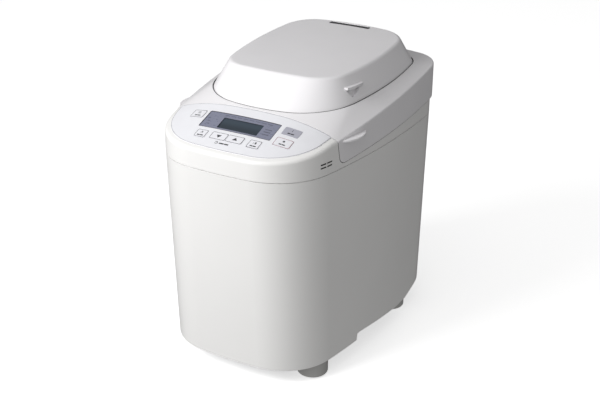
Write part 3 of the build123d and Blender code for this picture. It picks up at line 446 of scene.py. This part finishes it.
def bridge(mesh, loops, closed=True, wrap=True):
    """Quads between each loop and the next, and the first if closed; wrap joins each loop's ends."""
    pairs = list(zip(loops, loops[1:]))
    if closed:
        pairs.append((loops[-1], loops[0]))
    faces = []
    for first, second in pairs:
        for index in range(len(first) if wrap else len(first) - 1):
            after = (index + 1) % len(first)
            faces.append(mesh.faces.new((first[index], first[after], second[after], second[index])))
    return faces


def loop_at(mesh, points):
    """New vertices at these points."""
    return [mesh.verts.new(point) for point in points]


def draped_ring(mesh, tree, outer, inner, height, depth, wrap=True):
    """A raised line between two outlines of the panel, which close on themselves if wrap is set."""
    loops = [loop_at(mesh, [on_surface(tree, *point, lift) for point in outline])
             for outline, lift in ((outer, -depth), (outer, height), (inner, height), (inner, -depth))]
    bridge(mesh, loops, wrap=wrap)
    if not wrap:
        close_ends(mesh, loops)


def close_ends(mesh, loops):
    """Closes the two ends of an open strip."""
    mesh.faces.new([loop[0] for loop in loops])
    mesh.faces.new([loop[-1] for loop in reversed(loops)])


def open_left(points):
    """A closed outline with its straight left side taken away."""
    edge = min(x for x, _ in points) + SIDE_MARGIN
    gone = [x < edge for x, _ in points]
    start = next(index for index in range(len(points)) if gone[index - 1] and not gone[index])
    return [points[(start + step) % len(points)] for step in range(gone.count(False))]


def draped_slab(mesh, tree, outline, height, depth):
    """A closed thin slab on an outline of the panel."""
    low = loop_at(mesh, [on_surface(tree, *point, -depth) for point in outline])
    high = loop_at(mesh, [on_surface(tree, *point, height) for point in outline])
    bridge(mesh, [low, high], closed=False)
    mesh.faces.new(high)
    mesh.faces.new(list(reversed(low)))


def rim_line(name, above, beside):
    """The longest line of edges between faces of two kinds: its points, each with both faces' normals."""
    copy = bmesh.new()
    copy.from_mesh(NODES[name].data)
    bmesh.ops.remove_doubles(copy, verts=copy.verts, dist=0.001 * MM)
    links, normals = {}, {}
    for edge in copy.edges:
        if len(edge.link_faces) != 2:
            continue
        first, second = (face.normal.copy() for face in edge.link_faces)
        if not (above(first) and beside(second)):
            first, second = second, first
        if above(first) and beside(second):
            for start, end in (edge.verts, reversed(edge.verts)):
                links.setdefault(start, []).append(end)
                sums = normals.setdefault(start, [Vector(), Vector()])
                sums[0] += first
                sums[1] += second
    lines, waiting = [], dict.fromkeys(sorted(links, key=lambda vertex: (len(links[vertex]), vertex.index)))
    while waiting:
        line = [next(iter(waiting))]
        del waiting[line[0]]
        while after := next((vertex for vertex in links[line[-1]] if vertex in waiting), None):
            del waiting[after]
            line.append(after)
        lines.append([(vertex.co.copy(), normals[vertex][0].normalized(), normals[vertex][1].normalized())
                      for vertex in line])
    copy.free()
    return max(lines, key=lambda line: sum((a[0] - b[0]).length for a, b in zip(line, line[1:])))


def rim_loop(name, above, beside):
    """The points alone of a closed rim line."""
    return [point for point, _, _ in rim_line(name, above, beside)]


def evenly(loop, step):
    """A closed loop's line divided into even steps of about this length."""
    sides = [(a, b, (b - a).length) for a, b in zip(loop, loop[1:] + loop[:1])]
    total = sum(side[2] for side in sides)
    count = round(total / step)
    points, passed, side = [], 0.0, 0
    for index in range(count):
        at = total * index / count
        while at > passed + sides[side][2]:
            passed += sides[side][2]
            side += 1
        start, end, span = sides[side]
        points.append(start.lerp(end, (at - passed) / span))
    return points


def grown(loop, normal, amount):
    """A closed loop moved outwards by amount, square to the normal."""
    middle = sum(loop, Vector()) / len(loop)
    moved = []
    for index, point in enumerate(loop):
        along = loop[(index + 1) % len(loop)] - loop[index - 1]
        outward = along.cross(normal).normalized()
        if outward.dot(point - middle) < 0:
            outward.negate()
        moved.append(point + outward * amount)
    return moved


def square_ring(mesh, loop, normal, inner, outer, low, high):
    """A closed ring of square section round a loop."""
    corners = ((outer, low), (outer, high), (inner, high), (inner, low))
    bridge(mesh, [loop_at(mesh, [point + normal * lift for point in grown(loop, normal, reach)])
                  for reach, lift in corners])


def edge_bead(mesh, line, depths, heights):
    """A bead along an edge: depths below the second faces, heights above the first."""
    wrap = (line[0][0] - line[-1][0]).length < CLOSED_GAP
    (shallow, deep), (low, high) = depths, heights
    corners = ((shallow, low), (shallow, high), (deep, high), (deep, low))
    loops = [loop_at(mesh, [point + above * height - beside * depth for point, above, beside in line])
             for depth, height in corners]
    bridge(mesh, loops, wrap=wrap)
    if not wrap:
        close_ends(mesh, loops)


def piece(name, mesh, materials, body):
    """Finishes a mesh as a piece that rides on a body."""
    bmesh.ops.recalc_face_normals(mesh, faces=mesh.faces)
    data = bpy.data.meshes.new(name)
    mesh.to_mesh(data)
    mesh.free()
    for material in materials:
        data.materials.append(material)
    made = bpy.data.objects.new(name, data)
    bpy.context.scene.collection.objects.link(made)
    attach(made, body)
    return made


# ---------------------------------------------------------------- key marks
def bar(centre, size):
    """The outline of an upright rectangle."""
    (x, y), (width, tall) = centre, size
    return [(x - width / 2, y - tall / 2), (x + width / 2, y - tall / 2), (x + width / 2, y + tall / 2),
            (x - width / 2, y + tall / 2)]


def triangle(centre, size, way):
    """The outline of a triangle that points up or down the slope."""
    x, y = centre
    return [(x - size * way, y - size * 0.5 * way), (x + size * way, y - size * 0.5 * way),
            (x, y + size * 0.9 * way)]


def disc(centre, radius, points=14):
    """The outline of a disc."""
    angles = [2 * pi * step / points for step in range(points)]
    return [(centre[0] + radius * cos(angle), centre[1] + radius * sin(angle)) for angle in angles]


def legend(x, y):
    """Two short bars, where a key's wording would stand."""
    return [bar((x - 2.1 * MM, y - LEGEND_DROP), (3.6 * MM, LEGEND_TALL)),
            bar((x + 2.2 * MM, y - LEGEND_DROP), (3.8 * MM, LEGEND_TALL))]


def key_marks(name, x, y):
    """The filled outlines printed on a key."""
    icon = y + ICON_RISE
    if name == "timer_down_key":
        return [triangle((x, y), ARROW, -1)]
    if name == "timer_up_key":
        return [triangle((x, y), ARROW, 1)]
    icons = {
        "menu_key": [bar((x, icon + step * 1.5 * MM), (4.0 * MM, 0.5 * MM)) for step in (-1, 0, 1)],
        "option_key": [bar((x, icon - 0.8 * MM), (3.6 * MM, 0.6 * MM)), disc((x, icon + 0.9 * MM), 0.9 * MM)],
        "crust_key": [bar((x + 1.0 * MM, icon), (2.0 * MM, ICON_TALL)),
                      bar((x - 1.8 * MM, icon), (0.4 * MM, ICON_TALL))],
        "start_key": [bar((x, icon), (0.6 * MM, ICON_TALL))],
        "stop_key": [disc((x, icon), 1.5 * MM)],
    }
    return icons[name] + legend(x, y)


def print_marks(name, material):
    """Prints a key's filled marks on its cap."""
    span, tree, size, mesh = panel_span(name), top_surface(name), sizes(), bmesh.new()
    for outline in key_marks(name, (span[0] + span[1]) / 2, (span[2] + span[3]) / 2):
        draped_slab(mesh, tree, outline, size.print_height, size.print_depth)
    piece(f"{name}_mark", mesh, [material], name)


def print_outline(name, material):
    """Prints the line round a key's edge; the upper timer key shares its left side with the lower one."""
    span, tree, size, mesh = panel_span(name), top_surface(name), sizes(), bmesh.new()
    outer = rounded_rectangle(span, OUTLINE_EDGE, OUTLINE_CORNERS[0])
    inner = rounded_rectangle(span, OUTLINE_EDGE + size.line_width, OUTLINE_CORNERS[1])
    shared = name == "timer_up_key"
    if shared:
        outer, inner = open_left(outer), open_left(inner)
    draped_ring(mesh, tree, outer, inner, size.print_height, size.print_depth, wrap=not shared)
    piece(f"{name}_outline", mesh, [material], name)


def film_border(material):
    """The grey line printed round the edge of the console film."""
    tree, width = top_surface("control_panel_sheet"), sizes().border_width
    rim = rim_loop("control_panel_sheet", lambda normal: normal.dot(OUT) > 0.8,
                   lambda normal: abs(normal.dot(OUT)) < 0.5)
    edge = evenly(rim, BORDER_STEP)
    outer, inner = ([(point.dot(RIGHT), point.dot(UP)) for point in grown(edge, OUT, -reach)]
                    for reach in (BORDER_EDGE, BORDER_EDGE + width))
    mesh = bmesh.new()
    draped_ring(mesh, tree, outer, inner, sizes().print_height, sizes().print_depth)
    piece("film_border", mesh, [material], "base")


def timer_caption(material):
    """The clock ring and the two bars printed below the pair of timer keys."""
    left, right = panel_span("timer_down_key"), panel_span("timer_up_key")
    x, y = (left[0] + right[1]) / 2, left[2] - CAPTION_DROP
    tree, size, mesh = top_surface("control_panel_sheet"), sizes(), bmesh.new()
    clock = (x - 8.0 * MM, y)
    outer, inner = (disc(clock, radius, CLOCK_STEPS) for radius in CLOCK_RADII)
    draped_ring(mesh, tree, outer, inner, size.print_height, size.print_depth)
    hand = bar((clock[0] + 0.4 * MM, y + 0.5 * MM), (0.5 * MM, 1.2 * MM))
    words = [bar((x - 1.2 * MM, y), (6.4 * MM, CAPTION_TALL)),
             bar((x + 5.6 * MM, y), (5.6 * MM, CAPTION_TALL))]
    for outline in (hand, *words):
        draped_slab(mesh, tree, outline, size.print_height, size.print_depth)
    piece("timer_caption", mesh, [material], "base")


def dispenser_lid_gap_shade(material):
    """A dark ring below the rim of the dispenser lid: painted shade of the gap round it."""
    rim = rim_loop("dispenser_lid", lambda normal: normal.z < -0.9, lambda normal: -0.3 < normal.z < 0.9)
    mesh = bmesh.new()
    square_ring(mesh, evenly(rim, GAP_SHADE_STEP), GAP_SHADE_NORMAL, *GAP_SHADE_REACH, *GAP_SHADE_LEVELS)
    piece("dispenser_lid_gap_shade", mesh, [material], "lid")


def lid_seam_shade(material):
    """A dark bead along the lid's front edge: painted shade of the seam between the lid and the console."""
    edge = rim_line("lid", lambda normal: abs(normal.x) < 0.01 and normal.z < 0.3 and normal.y < 0.3,
                    lambda normal: normal.z > 0.7 or abs(normal.z) < 0.2 and abs(normal.x) > 0.1)
    mesh = bmesh.new()
    edge_bead(mesh, edge, SEAM_SHADE_DEPTHS, SEAM_SHADE_HEIGHTS)
    piece("lid_seam_shade", mesh, [material], "lid")


def sounder_mesh(material):
    """The dark mesh that shows in the slots in the right side of the band."""
    frame_low, lid_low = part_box("upper_frame")[0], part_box("lid")[0]
    slots = [vertex.co for vertex in NODES["upper_frame"].data.vertices
             if vertex.co.x > SLOT_SIDE and vertex.co.y < lid_low[1] - SLOT_CLEARANCE
             and SLOT_BAND[0] < vertex.co.z - frame_low[2] < SLOT_BAND[1]]
    rear, front = max(point.y for point in slots), min(point.y for point in slots)
    low, high = min(point.z for point in slots), max(point.z for point in slots)
    tree, middle = top_surface("upper_frame"), (low + high) / 2
    stations = [front + (rear - front) * step / MESH_STEPS for step in range(MESH_STEPS + 1)]
    wall = [tree.ray_cast(Vector((ASIDE, y, middle)), -RIGHT)[0].x for y in stations]
    mesh = bmesh.new()
    near, far = MESH_DEPTHS
    outline = [(near, low), (near, high), (far, high), (far, low)]
    loops = [loop_at(mesh, [(x - depth, y, z) for x, y in zip(wall, stations)]) for depth, z in outline]
    bridge(mesh, loops, wrap=False)
    close_ends(mesh, loops)
    piece("sounder_mesh", mesh, [material], "base")


def display_window(tree, window, opening, floor, under, materials):
    """The tinted window: its raised rim, its recessed face and the walls round the display."""
    rim = rounded_rectangle(window, RIM_INSET, RIM_CORNERS[0])
    rim_inner = rounded_rectangle(window, sizes().rim, RIM_CORNERS[1])
    levels = [(rim, under), (rim, RIM_TOP), (rim_inner, RIM_TOP), (rim_inner, floor),
              (opening, floor), (opening, under)]
    mesh = bmesh.new()
    loops = [loop_at(mesh, [on_surface(tree, *point, lift) for point in outline])
             for outline, lift in levels]
    for index, face in enumerate(bridge(mesh, loops)):
        tinted = index // len(rim) == levels.index((rim_inner, floor))
        face.material_index = 0 if tinted else 1
    made = piece("display_window", mesh, materials, "base")
    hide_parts("lcd_window")


def display_marks(tree, window, glass, floor, material):
    """The faint bars printed on the window, on both sides of the display and above it."""
    left, right = window[0] + 7 * MM, glass[1] + 9 * MM
    middle, top = (glass[2] + glass[3]) / 2, (glass[3] + window[3]) / 2
    rows = (-1, 0, 1)
    marks = [bar((right, middle + row * 4.4 * MM), (9 * MM, 1.2 * MM)) for row in rows]
    marks += [bar((left + row * 2.2 * MM, middle - row * 5.2 * MM), (3.4 * MM, 1.1 * MM)) for row in rows]
    marks += [bar((glass[0] + 2 * MM + step * 8.5 * MM, top), (6.6 * MM, 0.9 * MM)) for step in range(8)]
    size, mesh = sizes(), bmesh.new()
    for outline in marks:
        draped_slab(mesh, tree, outline, floor + size.print_height, size.print_depth - floor)
    piece("display_marks", mesh, [material], "base")


# ---------------------------------------------------------------- operators
class BREAD_OT_case(bpy.types.Operator):
    """Give the case, band, lids and feet their moulded finishes."""

    bl_idname = "bread.case"
    bl_label = "Case and lids"

    def execute(self, context):
        dress(moulded_plastic("case_plastic", colours().case), "lower_case", "upper_frame")
        # painted shade: the feet's darker colour stands in for the shadow under the case
        dress(moulded_plastic("foot_plastic_with_painted_shade", colours().foot, 0.45), "feet")
        dress(moulded_plastic("lid_plastic", colours().lid), "lid", "dispenser_lid")
        dress(matt_moulding("dark_moulding", colours().moulding), "base_plate", "cord_gland", "steam_vent",
              "dispenser_box", "drive_pulley", "motor_pulley", "capacitor")
        # the rubber finish also colours the dark rings of painted shade round the dispenser lid and along the
        # lid's front edge
        rubber = soft_rubber("rubber", colours().rubber)
        dress(rubber, "foot_pads", "drive_belt")
        dress(soft_rubber("silicone", colours().silicone, 0.55), "lid_gasket")
        # painted shade: a dark ring in the gap round the dispenser lid
        dispenser_lid_gap_shade(rubber)
        # painted shade: a dark bead in the seam between the lid's front edge and the console
        lid_seam_shade(rubber)
        sounder_mesh(rubber)
        return {"FINISHED"}


class BREAD_OT_keys(bpy.types.Operator):
    """Lay the console film and print the outline and marks of each key."""

    bl_idname = "bread.keys"
    bl_label = "Film and keys"

    def execute(self, context):
        palette = colours()
        film = printed_film("panel_film", palette.film)
        caps = printed_film("key_film", palette.key, 0.4)
        grey = printed_film("start_key_film", palette.start_key, 0.4)
        ink = printed_film("print_black", palette.ink, 0.5)
        red = printed_film("print_red", palette.stop_print, 0.5)
        dress(film, "control_panel_sheet")
        film_border(printed_film("film_border", palette.border))
        dress(caps, *OUTLINED)
        dress(grey, "start_key")
        for name in KEYS:
            print_marks(name, ink)
        timer_caption(ink)
        for name in OUTLINED:
            print_outline(name, red if name == "stop_key" else ink)
        return {"FINISHED"}


class BREAD_OT_display(bpy.types.Operator):
    """Build the tinted window with its recessed display."""

    bl_idname = "bread.display"
    bl_label = "Display window"

    def execute(self, context):
        size, palette = sizes(), colours()
        window, module = panel_span("lcd_window"), panel_span("lcd_module")
        glass = (module[0] + DISPLAY_BORDER[0], module[1] - DISPLAY_BORDER[0],
                 module[2] + DISPLAY_BORDER[1], module[3] - DISPLAY_BORDER[1])
        opening = rounded_rectangle(glass, 0.0, GLASS_CORNER)
        tree = top_surface("lcd_window")
        floor = -size.window_recess
        under = floor - size.display_recess - GLASS_THICKNESS
        tint = printed_film("window_film", palette.window, 0.3)
        dark = matt_moulding("window_rim", palette.ink)
        display_window(tree, window, opening, floor, under, [tint, dark])
        mesh = bmesh.new()
        draped_slab(mesh, tree, opening, under + GLASS_THICKNESS, -under)
        piece("display_glass", mesh, [display_glass("display_glass", palette.display)], "base")
        display_marks(tree, window, glass, floor, printed_film("window_print", palette.faint_ink))
        dress(matt_moulding("display_module", palette.moulding), "lcd_module")
        return {"FINISHED"}


class BREAD_OT_chamber(bpy.types.Operator):
    """Give the baking chamber, its heater, the pan and the blade their finishes."""

    bl_idname = "bread.chamber"
    bl_label = "Chamber and pan"

    def execute(self, context):
        palette = colours()
        dress(sheet_metal("zinc_sheet", palette.zinc), "baking_chamber", "lid_liner", "chamber_legs",
              "motor_bracket")
        dress(sheet_metal("flap_sheet", palette.alloy, 0.3), "dispenser_flap")
        dress(cast_metal("heater_sheath", palette.heater, 0.5, 0.00003), "heater", "heater_clips",
              "temperature_sensor")
        dress(non_stick("pan_coating", palette.coating), "bread_pan", "kneading_blade")
        dress(cast_metal("cast_alloy", palette.alloy), "pan_base", "pan_socket", "pan_dog", "drive_dog")
        dress(turned_metal("handle_wire", palette.steel, 0.2), "pan_handle")
        return {"FINISHED"}


class BREAD_OT_drive(bpy.types.Operator):
    """Give the drive train and the electrical parts their finishes."""

    bl_idname = "bread.drive"
    bl_label = "Drive and electrics"

    def execute(self, context):
        palette = colours()
        dress(turned_metal("turned_steel", palette.steel), "drive_shaft", "pan_shaft", "motor_shaft",
              "hinge_pins", "flap_pin", "dispenser_lid_pins", "foot_screws", "solenoid_plunger")
        dress(cast_metal("bronze", palette.bronze, 0.4, 0.00004), "pan_bush", "drive_bearing")
        dress(circuit_board("circuit_board", palette.board), "control_board", "power_board")
        dress(matt_moulding("motor_paint", palette.paint, 0.45), "motor", "dispenser_solenoid")
        return {"FINISHED"}


# ---------------------------------------------------------------- studio
def area_light(name, place, target, size, power):
    """A rectangular softbox that faces the target."""
    data = bpy.data.lights.new(name, "AREA")
    data.shape = "RECTANGLE"
    data.size, data.size_y = size
    data.energy = power
    lamp = bpy.data.objects.new(name, data)
    bpy.context.scene.collection.objects.link(lamp)
    lamp.location = place
    lamp.rotation_euler = (Vector(target) - Vector(place)).to_track_quat("-Z", "Y").to_euler()


def studio_floor(base):
    """A wide pale floor with a barely visible mottle."""
    mesh = bmesh.new()
    bmesh.ops.create_grid(mesh, x_segments=8, y_segments=8, size=FLOOR_SPAN)
    data = bpy.data.meshes.new("floor")
    mesh.to_mesh(data)
    mesh.free()
    floor = bpy.data.objects.new("floor", data)
    bpy.context.scene.collection.objects.link(floor)
    finish = Finish("studio_floor", 0.7)
    finish.tint(finish.noise(3.0), base, 0.004)
    finish.surface.inputs["Emission Color"].default_value = WHITE
    finish.surface.inputs["Emission Strength"].default_value = FLOOR_GLOW
    data.materials.append(finish.material)
    floor.visible_diffuse = floor.visible_glossy = False


def studio_world(ambient):
    """Soft light from all round, a little stronger in front, which the camera sees as white."""
    world = bpy.data.worlds.new("studio")
    bpy.context.scene.world = world
    world.use_nodes = True
    tree = world.node_tree
    even = tree.nodes["Background"]
    even.inputs["Color"].default_value = WHITE
    way = tree.nodes.new("ShaderNodeTexCoord")
    facing = tree.nodes.new("ShaderNodeVectorMath")
    facing.operation = "DOT_PRODUCT"
    facing.inputs[1].default_value = FRONT
    strength = tree.nodes.new("ShaderNodeMapRange")
    strength.inputs["From Min"].default_value = -1.0
    strength.inputs["To Min"].default_value = ambient * REAR_SHARE
    strength.inputs["To Max"].default_value = ambient * FRONT_SHARE
    tree.links.new(way.outputs["Generated"], facing.inputs[0])
    tree.links.new(facing.outputs["Value"], strength.inputs["Value"])
    tree.links.new(strength.outputs["Result"], even.inputs["Strength"])
    seen = tree.nodes.new("ShaderNodeBackground")
    seen.inputs["Color"].default_value = WHITE
    mix = tree.nodes.new("ShaderNodeMixShader")
    path = tree.nodes.new("ShaderNodeLightPath")
    tree.links.new(path.outputs["Is Camera Ray"], mix.inputs["Fac"])
    tree.links.new(even.outputs["Background"], mix.inputs[1])
    tree.links.new(seen.outputs["Background"], mix.inputs[2])
    tree.links.new(mix.outputs["Shader"], tree.nodes["World Output"].inputs["Surface"])


def studio_camera(stage):
    """The camera, which looks at a point inside the case."""
    data = bpy.data.cameras.new("camera")
    camera = bpy.data.objects.new("camera", data)
    bpy.context.scene.collection.objects.link(camera)
    bpy.context.scene.camera = camera
    data.sensor_width = SENSOR_WIDTH
    data.lens = stage.lens
    data.shift_x, data.shift_y = CAMERA_SHIFT
    back = Vector((sin(stage.azimuth) * cos(stage.elevation), -cos(stage.azimuth) * cos(stage.elevation),
                   sin(stage.elevation)))
    middle = (CAD_LOW + CAD_HIGH) / 2
    target = Vector((middle.x, middle.y + AIM_BACK, middle.z - AIM_DOWN))
    turn = (-back).to_track_quat("-Z", "Y").to_matrix() @ Matrix.Rotation(stage.roll, 3, "Z")
    camera.matrix_world = Matrix.Translation(target + back * stage.distance) @ turn.to_4x4()


class BREAD_OT_stage(bpy.types.Operator):
    """Set up the floor, the lights and the camera."""

    bl_idname = "bread.stage"
    bl_label = "Studio"

    def execute(self, context):
        stage = context.scene.bread_machine_stage
        studio_floor(colours().floor)
        studio_world(stage.ambient)
        area_light("key_softbox", *SOFTBOXES["key_softbox"], stage.key_light)
        area_light("top_softbox", *SOFTBOXES["top_softbox"], stage.top_light)
        studio_camera(stage)
        context.scene.view_settings.view_transform = "Standard"
        return {"FINISHED"}


class BREAD_PT_machine(bpy.types.Panel):
    """Bread machine pieces, sizes and colours."""

    bl_label = "Bread machine"
    bl_idname = "BREAD_PT_machine"
    bl_space_type = "VIEW_3D"
    bl_region_type = "UI"
    bl_category = "Bread machine"

    def draw(self, context):
        layout = self.layout
        for operator in OPERATORS:
            layout.operator(operator.bl_idname)
        for name, group in GROUPS.items():
            box = layout.box()
            for key in group.__annotations__:
                box.prop(getattr(context.scene, name), key)


OPERATORS = (BREAD_OT_case, BREAD_OT_keys, BREAD_OT_display, BREAD_OT_chamber, BREAD_OT_drive, BREAD_OT_stage)
GROUPS = {"bread_machine_colours": BreadMachineColours, "bread_machine_sizes": BreadMachineSizes,
          "bread_machine_stage": BreadMachineStage}


def register():
    """Adds the property groups, operators and panel."""
    for group in GROUPS.values():
        bpy.utils.register_class(group)
    for name, group in GROUPS.items():
        setattr(bpy.types.Scene, name, PointerProperty(type=group))
    for operator in OPERATORS:
        bpy.utils.register_class(operator)
    bpy.utils.register_class(BREAD_PT_machine)


def unregister():
    """Takes them out again."""
    bpy.utils.unregister_class(BREAD_PT_machine)
    for operator in reversed(OPERATORS):
        bpy.utils.unregister_class(operator)
    for name, group in GROUPS.items():
        delattr(bpy.types.Scene, name)
        bpy.utils.unregister_class(group)


def main():
    register()
    bpy.ops.bread.case()
    bpy.ops.bread.keys()
    bpy.ops.bread.display()
    bpy.ops.bread.chamber()
    bpy.ops.bread.drive()
    bpy.ops.bread.stage()


if __name__ == "__main__":
    main()
